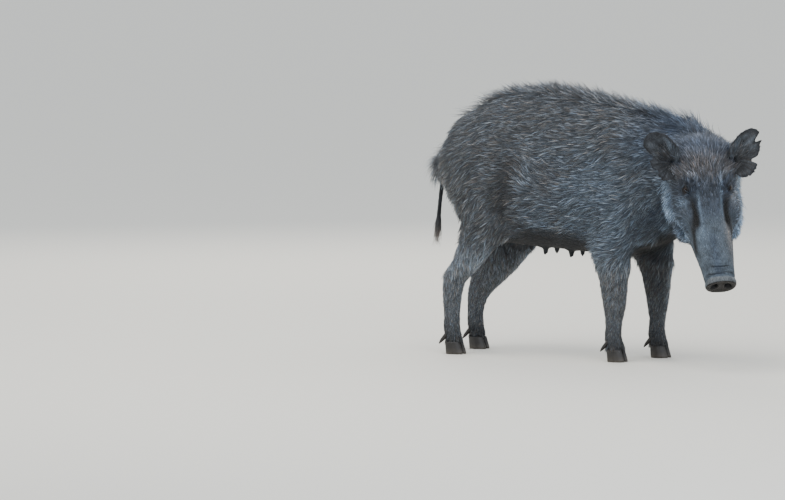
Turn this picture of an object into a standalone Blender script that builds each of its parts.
"""Wild boar sow (Sus scrofa), life-size, standing with its head lowered and turned to its right.

Metres, +Z up. The animal faces -Y and its left side is +X. The floor is z = 0, and the origin is
on the floor under the middle of the whole model.

The flesh is built as a sculptor builds an armature: lofted masses for trunk, neck, head, jaw and
limbs, with ellipsoids for the muscles, are fused by a voxel remesh, smoothed, thinned to few
faces, and then parted with thin cuts into the pieces a person would name. The solids reach out
to the tips of the coat. Eyes, hooves, dewclaws and ears are separate solids let into the flesh.
"""

import math

import bmesh
import bpy
import numpy as np
from mathutils import Matrix, Vector
from mathutils.bvhtree import BVHTree

# ---------------------------------------------------------------- driving sizes
GAP = 0.0003  # left between solids that touch
VOXEL = 0.006  # grid of the fused flesh
SMOOTHING_PASSES = 11
FLESH_FACES = 4300  # triangles of the fused flesh before it is parted
HEAD_THINNING = 0.86  # how readily each region gives up its faces
LEG_THINNING = 0.90
TRUNK_THINNING = 0.94

LEFT_FOREFOOT_STEP = 0.052  # how far the left forefoot is ahead of the right one
SWING_TOP_Z = 0.47  # the left foreleg is swung forward from the shoulder...
SWING_LOW_Z = 0.28  # ...and stands upright from the elbow down

HEAD_YAW = math.radians(48)  # head turned to the animal's right
HEAD_PITCH = math.radians(55)  # long axis of the head below the horizontal
HEAD_ROLL = math.radians(-4.5)  # the left ear higher than the right one
OCCIPUT = Vector((-0.073, -0.4636, 0.578))  # where the skull's long axis starts
HEAD_LENGTH = 0.415

EYE_RADIUS = 0.0125
EYE_PROUD = 0.42  # share of the radius that stands out of the face
EAR_ROOT = (0.084, 0.055, 0.073)  # left, forward and up in the head's frame
EAR_THICKNESS = 0.0075
EAR_CUP = 0.012  # how far the rims above and below stand forward
EAR_LOWER_LOBE = 0.018
# (reach at the root, upper lobe, its angle and width in degrees, tears: (angle, width, depth))
EAR_FORMS = {
    1: (0.042, 0.076, 34, 36, [(30.5, 3.5, 0.022), (2, 7, 0.022), (-36, 5, 0.006)]),
    -1: (0.038, 0.079, 38, 36, [(10, 6, 0.022), (-24, 5, 0.005)]),
}
DISC_THICKNESS = 0.016
TAIL_LENGTH = 0.222
TAIL_SWEEP = 0.037  # how far behind its root it hangs

FORE_CUT_Z = 0.286  # forelegs are parted from the trunk just under the brisket
HIND_CUT_Z = 0.318  # hind legs, just under the groin
# What lies ahead of the plane behind the ears is the head: (forward, up) from the occiput. The
# step keeps the cutter off the shoulder and the breast.
HEAD_CUTTER = [(0, 0.30), (0.6, 0.30), (0.6, -0.27), (0.20, -0.27), (0.20, -0.20), (0, -0.20)]
NECK_CUT = Vector((0.0, -0.350, 0.500))
NECK_CUT_YAW = math.radians(12)

# Trunk and neck, from the rump forward. Widths and heights are those of the coat.
# (x, y, top, widest level, bottom, half width, yaw in degrees)
TRUNK_SECTIONS = [
    (0.000, 0.396, 0.594, 0.572, 0.548, 0.036, 0),  # rump
    (0.000, 0.378, 0.628, 0.565, 0.518, 0.076, 0),
    (0.000, 0.345, 0.662, 0.550, 0.485, 0.110, 0),  # root of the tail
    (0.000, 0.290, 0.697, 0.510, 0.445, 0.133, 0),  # buttock
    (0.000, 0.225, 0.732, 0.490, 0.375, 0.146, 0),  # hips
    (0.000, 0.145, 0.762, 0.490, 0.328, 0.151, 0),  # loin
    (0.000, 0.030, 0.773, 0.480, 0.311, 0.163, 0),  # paunch, the highest of the back
    (0.000, -0.105, 0.756, 0.480, 0.301, 0.162, 0),  # ribs
    (0.000, -0.220, 0.733, 0.480, 0.305, 0.152, 0),  # withers
    (0.000, -0.315, 0.710, 0.490, 0.328, 0.139, 5),  # point of the shoulder
    (-0.008, -0.385, 0.692, 0.500, 0.365, 0.126, 18),  # base of the neck
    (-0.032, -0.445, 0.678, 0.520, 0.400, 0.113, 33),  # neck
    (-0.068, -0.492, 0.662, 0.540, 0.430, 0.098, 45),  # nape and throat
    (-0.100, -0.522, 0.634, 0.560, 0.470, 0.070, 48),
]
TRUNK_TOP_POWER = 1.75  # under 2 draws the back up to the ridge of the mane
TRUNK_BOTTOM_POWER = 2.25

# Head, in its own frame: (forward of the occiput, top, widest level, bottom, half width)
HEAD_SECTIONS = [
    (-0.050, 0.060, 0.000, -0.080, 0.070),
    (0.000, 0.088, 0.000, -0.108, 0.090),  # occiput and throat
    (0.050, 0.094, -0.005, -0.118, 0.099),  # between the ears; the jaw's angle
    (0.100, 0.085, -0.010, -0.115, 0.097),  # forehead and jowls
    (0.145, 0.073, -0.012, -0.100, 0.087),  # eyes
    (0.190, 0.063, -0.008, -0.078, 0.073),
    (0.240, 0.055, -0.004, -0.058, 0.062),  # bridge of the snout
    (0.300, 0.048, 0.000, -0.042, 0.054),
    (0.360, 0.043, 0.002, -0.032, 0.047),
    (0.407, 0.040, 0.004, -0.027, 0.0435),  # behind the disc
]
JAW_SECTIONS = [
    (0.060, -0.050, -0.085, -0.122, 0.066),
    (0.130, -0.040, -0.080, -0.117, 0.058),
    (0.200, -0.035, -0.062, -0.095, 0.046),
    (0.280, -0.028, -0.050, -0.073, 0.037),
    (0.335, -0.024, -0.040, -0.058, 0.030),
    (0.358, -0.026, -0.036, -0.046, 0.020),  # chin
]
HEAD_TOP_POWER = 2.7  # the bridge of the snout is flat on top
HEAD_BOTTOM_POWER = 2.1

# Limbs, from the body down: (y, z, half length fore and aft, half width, distance from midline)
FORE_STATIONS = [
    (-0.215, 0.520, 0.090, 0.050, 0.078),  # shoulder blade
    (-0.212, 0.410, 0.092, 0.056, 0.088),  # upper arm
    (-0.210, 0.325, 0.074, 0.050, 0.087),  # elbow
    (-0.212, 0.250, 0.050, 0.039, 0.086),  # forearm
    (-0.216, 0.160, 0.034, 0.031, 0.087),  # knee
    (-0.214, 0.105, 0.0250, 0.0240, 0.088),  # cannon
    (-0.213, 0.065, 0.0265, 0.0255, 0.088),  # fetlock
    (-0.222, 0.030, 0.0290, 0.0285, 0.088),  # coronet
]
HIND_STATIONS = [
    (0.225, 0.520, 0.110, 0.060, 0.070),  # haunch
    (0.198, 0.445, 0.103, 0.063, 0.082),  # thigh
    (0.195, 0.385, 0.090, 0.056, 0.090),  # stifle
    (0.222, 0.325, 0.062, 0.046, 0.091),
    (0.252, 0.272, 0.044, 0.038, 0.090),  # shank
    (0.286, 0.228, 0.036, 0.031, 0.089),  # above the hock
    (0.299, 0.190, 0.034, 0.029, 0.088),  # hock
    (0.302, 0.125, 0.0270, 0.0245, 0.088),  # cannon
    (0.302, 0.068, 0.0275, 0.0260, 0.088),  # fetlock
    (0.293, 0.030, 0.0300, 0.0290, 0.088),  # coronet
]
BENT_HIND_STATIONS = [  # the left hind leg, a little more bent at the stifle and hock
    (0.225, 0.520, 0.110, 0.060, 0.070),
    (0.192, 0.440, 0.104, 0.063, 0.082),
    (0.176, 0.370, 0.090, 0.056, 0.090),
    (0.206, 0.302, 0.064, 0.046, 0.091),
    (0.240, 0.250, 0.051, 0.039, 0.090),
    (0.277, 0.209, 0.044, 0.033, 0.089),
    (0.303, 0.173, 0.038, 0.030, 0.088),
    (0.316, 0.120, 0.0275, 0.0245, 0.088),
    (0.317, 0.068, 0.0275, 0.0260, 0.088),
    (0.308, 0.030, 0.0300, 0.0290, 0.088),
]

# Muscle and bone under the coat: (x, y, z) in metres and radii. Those of the trunk are mirrored.
TRUNK_FORMS = [
    ((0.096, -0.215, 0.465), (0.060, 0.100, 0.150)),  # shoulder
    ((0.050, -0.270, 0.385), (0.060, 0.090, 0.066)),  # breast
    ((0.088, 0.222, 0.520), (0.058, 0.112, 0.120)),  # haunch
    ((0.080, 0.120, 0.372), (0.050, 0.090, 0.050)),  # fold of the flank
    ((0.086, 0.318, 0.222), (0.014, 0.018, 0.026)),  # point of the hock
    ((0.086, -0.165, 0.325), (0.024, 0.034, 0.045)),  # point of the elbow
    ((0.038, 0.000, 0.342), (0.042, 0.190, 0.032)),  # milk line along the belly
]
HEAD_FORMS = [  # (left, forward, up) in the head's own frame
    ((0.045, 0.098, 0.066), (0.026, 0.038, 0.021)),  # brow over the eye
    ((0.066, 0.150, 0.004), (0.034, 0.075, 0.036)),  # cheekbone
    ((0.060, 0.100, -0.045), (0.054, 0.090, 0.062)),  # jowl with its long hair
    ((0.062, 0.162, -0.054), (0.050, 0.078, 0.038)),  # whiskers in front of the jowl
    ((0.075, 0.048, 0.068), (0.024, 0.046, 0.027)),  # foot of the ear
    ((0.028, 0.230, 0.040), (0.018, 0.110, 0.016)),  # edge of the snout's flat bridge
]

TEAT_PAIRS = 5
TEAT_SPACING = 0.082
FIRST_TEAT_Y = -0.135
TEAT_OFF_MIDLINE = 0.036
TEAT_LENGTH = 0.024
TEAT_RADIUS = 0.0052

# (name, colour as linear RGB, roughness)
MATERIALS = {
    "bristle_coat": ((0.060, 0.056, 0.055), 0.85),
    "bare_skin": ((0.040, 0.034, 0.033), 0.70),
    "eye": ((0.010, 0.007, 0.005), 0.12),
    "hoof_horn": ((0.030, 0.026, 0.023), 0.50),
}


# ---------------------------------------------------------------- small tools
def clear_scene():
    for obj in list(bpy.data.objects):
        bpy.data.objects.remove(obj)


def material(name):
    found = bpy.data.materials.get(name)
    if found:
        return found
    colour, roughness = MATERIALS[name]
    made = bpy.data.materials.new(name)
    made.use_nodes = True
    shader = made.node_tree.nodes["Principled BSDF"]
    shader.inputs["Base Color"].default_value = (*colour, 1.0)
    shader.inputs["Roughness"].default_value = roughness
    return made


def object_from(bm, name):
    """A new object from a bmesh, which is freed."""
    bmesh.ops.recalc_face_normals(bm, faces=bm.faces)
    mesh = bpy.data.meshes.new(name)
    bm.to_mesh(mesh)
    bm.free()
    obj = bpy.data.objects.new(name, mesh)
    bpy.context.scene.collection.objects.link(obj)
    return obj


def bake_modifiers(obj):
    """Replaces the object's mesh by what its modifiers make of it."""
    graph = bpy.context.evaluated_depsgraph_get()
    mesh = bpy.data.meshes.new_from_object(obj.evaluated_get(graph))
    obj.modifiers.clear()
    obj.data = mesh
    return obj


def eased(rows, count):
    """count rows read from a smooth curve through the given rows, evenly spaced along them."""
    table = np.array(rows, float)
    knots = np.arange(len(table))
    slopes = np.gradient(table, axis=0)
    found = []
    for t in np.linspace(0, len(table) - 1, count):
        k = min(int(t), len(table) - 2)
        u = t - knots[k]
        low, high = table[k], table[k + 1]
        found.append(
            (2 * u**3 - 3 * u**2 + 1) * low
            + (u**3 - 2 * u**2 + u) * slopes[k]
            + (3 * u**2 - 2 * u**3) * high
            + (u**3 - u**2) * slopes[k + 1]
        )
    return found


def ring(bm, centre, left, up, half_width, above, below, power_up=2.0, power_down=2.0, sides=36):
    """One cross-section: an oval whose upper and lower halves have their own height and fullness."""
    verts = []
    for k in range(sides):
        angle = 2 * math.pi * k / sides
        c, s = math.cos(angle), math.sin(angle)
        power = 2 / (power_up if s >= 0 else power_down)
        across = half_width * math.copysign(abs(c) ** power, c)
        height = (above if s >= 0 else below) * math.copysign(abs(s) ** power, s)
        verts.append(bm.verts.new(centre + left * across + up * height))
    return verts


def join_rings(bm, rings):
    """Skins a row of rings and closes both ends."""
    for first, second in zip(rings, rings[1:]):
        for k in range(len(first)):
            n = (k + 1) % len(first)
            bm.faces.new((first[k], first[n], second[n], second[k]))
    bm.faces.new(rings[0])
    bm.faces.new(rings[-1])


def ellipsoid(bm, matrix, radii, detail=3):
    bmesh.ops.create_icosphere(
        bm, subdivisions=detail, radius=1.0, matrix=matrix @ Matrix.Diagonal((*radii, 1.0))
    )


def box(name, frame, low, high):
    """A closed box between two corners given in frame's own axes. It serves only as a cutter."""
    bm = bmesh.new()
    size = [b - a for a, b in zip(low, high)]
    middle = [(a + b) / 2 for a, b in zip(low, high)]
    matrix = frame @ Matrix.Translation(middle) @ Matrix.Diagonal((*size, 1.0))
    bmesh.ops.create_cube(bm, size=1.0, matrix=matrix)
    return object_from(bm, name)


def prism(name, frame, profile, half_width):
    """A closed prism of the given (forward, up) profile in frame's own axes. Also a cutter."""
    bm = bmesh.new()
    sides = [
        [bm.verts.new(frame @ Vector((x, forward, up))) for forward, up in profile]
        for x in (-half_width, half_width)
    ]
    join_rings(bm, sides)
    return object_from(bm, name)


def boolean(obj, other, operation):
    step = obj.modifiers.new("cut", "BOOLEAN")
    step.operation = operation
    step.solver = "EXACT"
    step.object = other
    bake_modifiers(obj)


def part_off(body, cutter_low, name):
    """Takes what lies in the cutter out of body as its own object, and leaves a gap between them."""
    piece = body.copy()
    piece.data = body.data.copy()
    piece.name = name
    bpy.context.scene.collection.objects.link(piece)
    boolean(piece, cutter_low, "INTERSECT")
    grown = swollen(cutter_low, GAP)
    boolean(body, grown, "DIFFERENCE")
    for cutter in (grown, cutter_low):
        bpy.data.objects.remove(cutter)
    return piece


def swollen(obj, by):
    """A copy of obj with every face moved outwards."""
    copy = obj.copy()
    copy.data = obj.data.copy()
    bpy.context.scene.collection.objects.link(copy)
    push = copy.modifiers.new("push", "DISPLACE")
    push.strength = by
    push.mid_level = 0.0
    return bake_modifiers(copy)


def let_into(host, insert):
    """Cuts the insert's shape, a gap larger, out of the host, and keeps the host's main body."""
    cutter = swollen(insert, GAP)
    boolean(host, cutter, "DIFFERENCE")
    bpy.data.objects.remove(cutter)
    keep_main_body(host)


def keep_main_body(obj):
    """Drops the crumbs a cut can leave beside the largest body."""
    bm = bmesh.new()
    bm.from_mesh(obj.data)
    bodies, seen = [], set()
    for start in bm.verts:
        if start in seen:
            continue
        body, edge_of_search = {start}, [start]
        while edge_of_search:
            for edge in edge_of_search.pop().link_edges:
                for vert in edge.verts:
                    if vert not in body:
                        body.add(vert)
                        edge_of_search.append(vert)
        seen |= body
        bodies.append(body)
    bodies.sort(key=len)
    for body in bodies[:-1]:
        bmesh.ops.delete(bm, geom=list(body), context="VERTS")
    bm.to_mesh(obj.data)
    bm.free()


def finish(obj, material_name):
    obj.data.materials.clear()
    obj.data.materials.append(material(material_name))
    obj.data.shade_smooth()
    obj.data.set_sharp_from_angle(angle=math.radians(60))
    return obj


# ---------------------------------------------------------------- the head's own frame
def head_frame():
    """The body's axes turned with the head: X is its left, Y its back, Z its crown."""
    turn = Matrix.Rotation(-HEAD_YAW, 4, "Z")
    nod = Matrix.Rotation(HEAD_PITCH, 4, "X")
    roll = Matrix.Rotation(HEAD_ROLL, 4, "Y")
    return Matrix.Translation(OCCIPUT) @ turn @ nod @ roll


HEAD = head_frame()


def in_head(left, ahead, up):
    return HEAD @ Vector((left, -ahead, up))


def head_direction(left, ahead, up):
    return (HEAD.to_3x3() @ Vector((left, -ahead, up))).normalized()


# ---------------------------------------------------------------- the masses of flesh
def add_trunk(bm):
    rings = []
    for x, y, top, widest, bottom, half_width, yaw in eased(TRUNK_SECTIONS, 41):
        turn = math.radians(yaw)
        left = Vector((math.cos(turn), -math.sin(turn), 0))
        rings.append(
            ring(
                bm,
                Vector((x, y, widest)),
                left,
                Vector((0, 0, 1)),
                half_width,
                top - widest,
                widest - bottom,
                TRUNK_TOP_POWER,
                TRUNK_BOTTOM_POWER,
                sides=48,
            )
        )
    join_rings(bm, rings)


def add_head_loft(bm, sections, power_up, power_down):
    rings = []
    for ahead, top, widest, bottom, half_width in eased(sections, 4 * len(sections)):
        rings.append(
            ring(
                bm,
                in_head(0, ahead, widest),
                head_direction(1, 0, 0),
                head_direction(0, 0, 1),
                half_width,
                top - widest,
                widest - bottom,
                power_up,
                power_down,
            )
        )
    join_rings(bm, rings)


def limb_stations(stations, side, step):
    """The stations of one leg as (centre, half length, half width). A step moves the foot forward."""
    found = []
    for y, z, half_length, half_width, off_midline in eased(stations, 3 * len(stations)):
        moved = y - step * min(1.0, max(0.0, (SWING_TOP_Z - z) / (SWING_TOP_Z - SWING_LOW_Z)))
        found.append((Vector((side * off_midline, moved, z)), half_length, half_width))
    return found


def add_limb(bm, found):
    rings = []
    for k, (centre, half_length, half_width) in enumerate(found):
        before = found[max(k - 1, 0)][0]
        after = found[min(k + 1, len(found) - 1)][0]
        down = (after - before).normalized()
        ahead = down.cross(Vector((1, 0, 0))).normalized()
        across = ahead.cross(down)
        rings.append(ring(bm, centre, across, ahead, half_width, half_length, half_length, sides=24))
    join_rings(bm, rings)


def leg_stations(side, kind):
    """The left forefoot is ahead of the right one, and the left hind leg is the more bent."""
    if kind == "fore":
        return limb_stations(FORE_STATIONS, side, LEFT_FOREFOOT_STEP if side > 0 else 0.0)
    return limb_stations(BENT_HIND_STATIONS if side > 0 else HIND_STATIONS, side, 0.0)


def build_flesh():
    """Every mass of flesh, fused into one smooth skin of few faces."""
    bm = bmesh.new()
    add_trunk(bm)
    add_head_loft(bm, HEAD_SECTIONS, HEAD_TOP_POWER, HEAD_BOTTOM_POWER)
    add_head_loft(bm, JAW_SECTIONS, 2.0, 2.0)
    for side in (1, -1):
        add_limb(bm, leg_stations(side, "fore"))
        add_limb(bm, leg_stations(side, "hind"))
        for (x, y, z), radii in TRUNK_FORMS:
            ellipsoid(bm, Matrix.Translation((side * x, y, z)), radii)
        for (left, ahead, up), radii in HEAD_FORMS:
            ellipsoid(bm, HEAD @ Matrix.Translation((side * left, -ahead, up)), radii)
    flesh = object_from(bm, "flesh")
    fuse = flesh.modifiers.new("fuse", "REMESH")
    fuse.mode = "VOXEL"
    fuse.voxel_size = VOXEL
    smooth = flesh.modifiers.new("smooth", "SMOOTH")
    smooth.factor = 0.5
    smooth.iterations = SMOOTHING_PASSES
    bake_modifiers(flesh)
    thin_out(flesh)
    return flesh


def thin_out(flesh):
    """Fewer faces, kept densest on the head and the feet."""
    fine = flesh.vertex_groups.new(name="coarse")
    centre = in_head(0, 0.5 * HEAD_LENGTH, 0)
    for vertex in flesh.data.vertices:
        near_head = (vertex.co - centre).length < 0.25
        low = vertex.co.z < 0.30
        weight = HEAD_THINNING if near_head else LEG_THINNING if low else TRUNK_THINNING
        fine.add([vertex.index], weight, "REPLACE")
    thin = flesh.modifiers.new("thin", "DECIMATE")
    thin.ratio = FLESH_FACES / (2 * len(flesh.data.polygons))
    thin.vertex_group = fine.name
    thin.vertex_group_factor = 1.0
    bake_modifiers(flesh)
    print("flesh", len(flesh.data.polygons), "faces")


# ---------------------------------------------------------------- let-in pieces
def surface_point(tree, outside, inwards):
    found, normal, _, _ = tree.ray_cast(outside, inwards)
    return found, normal


def build_eye(tree, side, name):
    """An eyeball whose centre lies just under the face where the brow meets the cheek."""
    look = head_direction(0.82 * side, 0.40, 0.40)
    aim = in_head(0.030 * side, 0.115, 0.046)
    found, _ = surface_point(tree, aim + look * 0.2, -look)
    centre = found - look * EYE_RADIUS * (1 - EYE_PROUD)
    bm = bmesh.new()
    bmesh.ops.create_uvsphere(
        bm, u_segments=12, v_segments=7, radius=EYE_RADIUS, matrix=Matrix.Translation(centre)
    )
    return object_from(bm, name)


def ear_reach(form, angle):
    """How far the ear's rim is from its root in one direction, notches included."""
    root, lobe, lobe_angle, lobe_width, notches = form
    reach = root + lobe * math.exp(-(((angle - lobe_angle) / lobe_width) ** 2))
    reach += EAR_LOWER_LOBE * math.exp(-(((angle + 28) / 40) ** 2))
    for at, width, depth in notches:
        reach -= depth * math.exp(-(((angle - at) / width) ** 2))
    return reach


def build_ear(side, name):
    """A cupped fan with a torn rim. Angles turn in the ear's plane: 0 is outwards, 90 is up."""
    form = EAR_FORMS[side]
    angles = set(np.linspace(-100, 118, 16))
    for at, width, _ in form[-1]:
        angles -= {a for a in angles if abs(a - at) < 1.5 * width}
        angles |= {at - 1.3 * width, at, at + 1.3 * width}
    angles = sorted(angles)
    root = in_head(EAR_ROOT[0] * side, EAR_ROOT[1], EAR_ROOT[2])
    outward = head_direction(0.97 * side, -0.08, 0.20)
    facing = head_direction(0.10 * side, 0.52, 0.84)
    outward = (outward - facing * outward.dot(facing)).normalized()
    upward = facing.cross(outward) * side
    shares = (0.15, 0.6, 1.0)
    bm = bmesh.new()
    front, back = [], []
    for grid, layer in ((front, 0.5), (back, -0.5)):
        for share in shares:
            line = []
            for angle in angles:
                turn = math.radians(angle)
                reach = share * ear_reach(form, angle)
                cup = EAR_CUP * share**2 * (0.25 - math.cos(2 * (turn - math.radians(20))))
                thick = EAR_THICKNESS * (1.15 - share * 0.65) * layer
                flat = outward * math.cos(turn) + upward * math.sin(turn)
                line.append(bm.verts.new(root + flat * reach + facing * (cup + thick)))
            grid.append(line)
    last = len(angles) - 1
    for i in range(len(shares) - 1):
        for j in range(last):
            bm.faces.new((front[i][j], front[i][j + 1], front[i + 1][j + 1], front[i + 1][j]))
            bm.faces.new((back[i][j], back[i + 1][j], back[i + 1][j + 1], back[i][j + 1]))
        for j in (0, last):
            bm.faces.new((front[i][j], front[i + 1][j], back[i + 1][j], back[i][j]))
    for j in range(last):
        for i in (0, len(shares) - 1):
            bm.faces.new((front[i][j], back[i][j], back[i][j + 1], front[i][j + 1]))
    return object_from(bm, name)


def hoof_outline(half_length, half_width, sides=12):
    """A claw's outline: round at the heel, drawn to a blunt point at the toe (-Y)."""
    points = []
    for k in range(sides):
        angle = 2 * math.pi * k / sides
        s = math.sin(angle)
        taper = 1 - 0.38 * max(0.0, -s) ** 1.5
        points.append((half_width * math.cos(angle) * taper, half_length * s))
    return points


def build_hoof(side, inner, foot, name):
    """One of the two main claws, standing flat on the floor."""
    half_gap, half_width, half_length = 0.0022, 0.0122, 0.0265
    off = (half_gap + half_width) * (-side if inner else side)
    spread = math.radians(7) * (side if inner else -side)
    turn = Matrix.Rotation(spread, 3, "Z")
    bm = bmesh.new()
    rings = []
    levels = (  # (height, share of the sole's size, lean back)
        (0.000, 0.97, 0.0000),
        (0.004, 1.00, 0.0003),
        (0.036, 0.84, 0.0070),
    )
    for height, size, lean in levels:
        line = []
        for x, y in hoof_outline(half_length * size, half_width * size):
            place = turn @ Vector((x, y + lean, 0))
            line.append(bm.verts.new((foot.x + off + place.x, foot.y - 0.006 + place.y, height)))
        rings.append(line)
    join_rings(bm, rings)
    return object_from(bm, name)


def build_dewclaw(side, inner, foot, name):
    """A small horn cone behind the pastern, clear of the floor."""
    off = 0.019 * (-side if inner else side)
    root = Vector((foot.x + 0.72 * off, foot.y + 0.018, 0.058))
    tip = Vector((foot.x + off, foot.y + 0.043, 0.027))
    aim = (tip - root).normalized()
    across = Vector((1, 0, 0))
    up = across.cross(aim).normalized()
    bm = bmesh.new()
    rings = []
    for share, radius in ((0.0, 0.0088), (0.65, 0.0072), (1.0, 0.0025)):
        centre = root.lerp(tip, share)
        rings.append(ring(bm, centre, across, up, radius, radius * 0.85, radius * 0.85, sides=8))
    join_rings(bm, rings)
    return object_from(bm, name)


def build_tail():
    """A thin tail hanging from the rump, ending in a flat tassel of hair."""
    root = Vector((0.0, 0.362, 0.548))
    bm = bmesh.new()
    rings = []
    count = 12
    for k in range(count):
        share = k / (count - 1)
        back = TAIL_SWEEP * (1 - math.exp(-share * 2.6))
        centre = root + Vector((0.006 * math.sin(3 * share), back, -TAIL_LENGTH * share))
        stem = 0.0042 + 0.0080 * math.exp(-share * 6)
        tassel = 0.0052 * math.exp(-(((share - 0.86) / 0.10) ** 2))
        end = 1 - 0.75 * max(0.0, share - 0.9) / 0.1
        wide, thick = (stem + tassel) * end, (stem + 0.4 * tassel) * end
        rings.append(
            ring(bm, centre, Vector((1, 0, 0)), Vector((0, 1, 0)), thick, wide, wide, sides=9)
        )
    join_rings(bm, rings)
    return object_from(bm, "tail")


def build_disc():
    """The flat nose disc with its rim, closing the front of the snout."""
    left, up = head_direction(1, 0, 0), head_direction(0, 0, 1)
    bm = bmesh.new()
    rings = []
    for ahead, size in ((0.0, 0.90), (0.35, 1.0), (0.8, 1.0), (1.0, 0.90)):
        centre = in_head(0, HEAD_LENGTH - DISC_THICKNESS * (1 - ahead), 0.006)
        rings.append(
            ring(bm, centre, left, up, 0.0445 * size, 0.036 * size, 0.033 * size, 2.4, 2.2, sides=22)
        )
    join_rings(bm, rings)
    disc = object_from(bm, "snout_disc")
    for side in (1, -1):
        start = in_head(0.0165 * side, HEAD_LENGTH - 0.009, 0.006)
        bm = bmesh.new()
        reach = head_direction(0, 1, 0) * 0.03
        nostril = [
            ring(bm, start, left, up, 0.0062, 0.0085, 0.0085, sides=8),
            ring(bm, start + reach, left, up, 0.0085, 0.011, 0.011, sides=8),
        ]
        join_rings(bm, nostril)
        pit = object_from(bm, "pit")
        boolean(disc, pit, "DIFFERENCE")
        bpy.data.objects.remove(pit)
    return disc


def add_teats(trunk, tree):
    """Two rows of teats under the belly, joined to the trunk."""
    for pair in range(TEAT_PAIRS):
        for side in (1, -1):
            y = FIRST_TEAT_Y + pair * TEAT_SPACING
            below = Vector((side * TEAT_OFF_MIDLINE, y, 0.1))
            found, _ = surface_point(tree, below, Vector((0, 0, 1)))
            bm = bmesh.new()
            rings = []
            for share, size in ((-0.7, 1.5), (0.1, 1.15), (0.8, 0.95), (1.0, 0.5)):
                drop = Vector((side * 0.25, 0, -1)).normalized() * (TEAT_LENGTH * share)
                radius = TEAT_RADIUS * size
                rings.append(
                    ring(
                        bm,
                        found + drop,
                        Vector((1, 0, 0)),
                        Vector((0, 1, 0)),
                        radius,
                        radius,
                        radius,
                        sides=6,
                    )
                )
            join_rings(bm, rings)
            teat = object_from(bm, "teat")
            boolean(trunk, teat, "UNION")
            bpy.data.objects.remove(teat)


# ---------------------------------------------------------------- parting the flesh
def cut_frame(point, towards):
    """A frame at point whose +Y is the given direction and whose X is level."""
    forward = towards.normalized()
    across = forward.cross(Vector((0, 0, 1))).normalized()
    up = across.cross(forward)
    frame = Matrix((across, forward, up)).transposed().to_4x4()
    frame.translation = point
    return frame


def part_flesh(flesh):
    """Cuts the fused flesh into its named pieces, front to back. What is left is the trunk."""
    pieces = {}
    for side, word in ((1, "left"), (-1, "right")):
        level = Matrix.Identity(4)
        inner, outer = sorted((side * 0.004, side * 0.3))
        cutter = box("cutter", level, (inner, -0.36, -0.1), (outer, -0.08, FORE_CUT_Z))
        pieces["foreleg_" + word] = part_off(flesh, cutter, "foreleg_" + word)
        cutter = box("cutter", level, (inner, 0.08, -0.1), (outer, 0.45, HIND_CUT_Z))
        pieces["hindleg_" + word] = part_off(flesh, cutter, "hindleg_" + word)
    neck_way = Vector((-math.sin(math.radians(45)), -math.cos(math.radians(45)), 0))
    behind_ears = cut_frame(OCCIPUT, neck_way + head_direction(0, 1, 0))
    cutter = prism("cutter", behind_ears, HEAD_CUTTER, 0.135)
    pieces["head"] = part_off(flesh, cutter, "head")
    neck_base = cut_frame(NECK_CUT, Vector((-math.sin(NECK_CUT_YAW), -math.cos(NECK_CUT_YAW), 0)))
    cutter = box("cutter", neck_base, (-0.4, 0.0, -0.24), (0.4, 0.6, 0.4))
    pieces["neck"] = part_off(flesh, cutter, "neck")
    flesh.name = "trunk"
    pieces["trunk"] = flesh
    return pieces


def centre_on_floor(objects):
    """Moves everything so that the origin is under the middle of the model, on the floor."""
    corners = np.array([v.co for o in objects for v in o.data.vertices])
    middle = (corners.min(0) + corners.max(0)) / 2
    shift = Matrix.Translation((-middle[0], -middle[1], -corners[:, 2].min()))
    for obj in objects:
        obj.data.transform(shift)
    print("moved by", [round(-c, 4) for c in middle])


def main():
    clear_scene()
    flesh = build_flesh()
    tree = BVHTree.FromObject(flesh, bpy.context.evaluated_depsgraph_get())

    eyes = [build_eye(tree, side, "eye_" + word) for side, word in ((1, "left"), (-1, "right"))]
    ears = [build_ear(side, "ear_" + word) for side, word in ((1, "left"), (-1, "right"))]
    tail = build_tail()
    disc = build_disc()

    pieces = part_flesh(flesh)
    head, trunk = pieces["head"], pieces["trunk"]
    for insert in (*eyes, disc):
        let_into(head, insert)
    for ear in ears:
        let_into(ear, head)
    add_teats(trunk, tree)
    let_into(tail, trunk)

    horn = []
    for side, word in ((1, "left"), (-1, "right")):
        for kind in ("fore", "hind"):
            foot = leg_stations(side, kind)[-1][0]
            leg = pieces[f"{kind}leg_{word}"]
            for inner in (True, False):
                which = "inner" if inner else "outer"
                hoof = build_hoof(side, inner, foot, f"hoof_{kind}_{word}_{which}")
                claw = build_dewclaw(side, inner, foot, f"dewclaw_{kind}_{word}_{which}")
                for insert in (hoof, claw):
                    let_into(leg, insert)
                    horn.append(insert)

    coat = [*pieces.values()]
    bare = [*ears, disc, tail]
    centre_on_floor([*coat, *bare, *eyes, *horn])
    for group, name in ((coat, "bristle_coat"), (bare, "bare_skin"), (eyes, "eye"), (horn, "hoof_horn")):
        for obj in group:
            finish(obj, name)
    for obj in (*coat, *bare, *eyes, *horn):
        print(obj.name, len(obj.data.polygons), "faces")


main()
